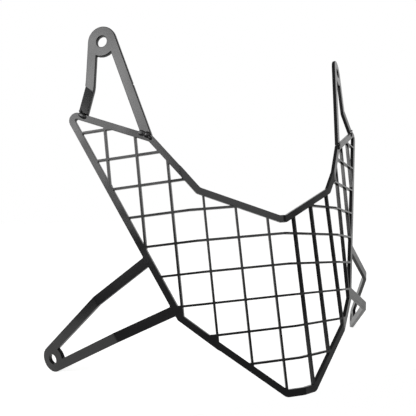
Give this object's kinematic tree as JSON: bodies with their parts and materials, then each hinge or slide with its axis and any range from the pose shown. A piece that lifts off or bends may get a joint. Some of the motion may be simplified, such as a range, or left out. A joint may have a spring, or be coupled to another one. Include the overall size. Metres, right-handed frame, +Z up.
{
  "type": "motorcycle headlight guard",
  "caption": "Steel grille folded to a shallow V with two wings, and four looped brackets with eyelets, that bolts on in front of a motorcycle's headlight.",
  "frame": {"origin": "centre of the guard's bounding box, on its plane of symmetry", "axes": "+Z up, -Y forwards (the side that the motorcycle travels towards), +Y towards the headlight, +X to the right as seen from in front of the motorcycle"},
  "size_m": [0.3328, 0.1458, 0.3046],
  "materials": {
    "powder_coated_steel": "semi-matt black powder coat over laser-cut steel sheet and its welds"
  },
  "bodies": {
    "root": {"mesh_plate": "powder_coated_steel", "upper_bracket_left": "powder_coated_steel", "upper_bracket_right": "powder_coated_steel", "weld_bead_left_inner": "powder_coated_steel", "weld_bead_left_outer": "powder_coated_steel", "weld_bead_right_inner": "powder_coated_steel", "weld_bead_right_outer": "powder_coated_steel"}
  },
  "joints": []
}
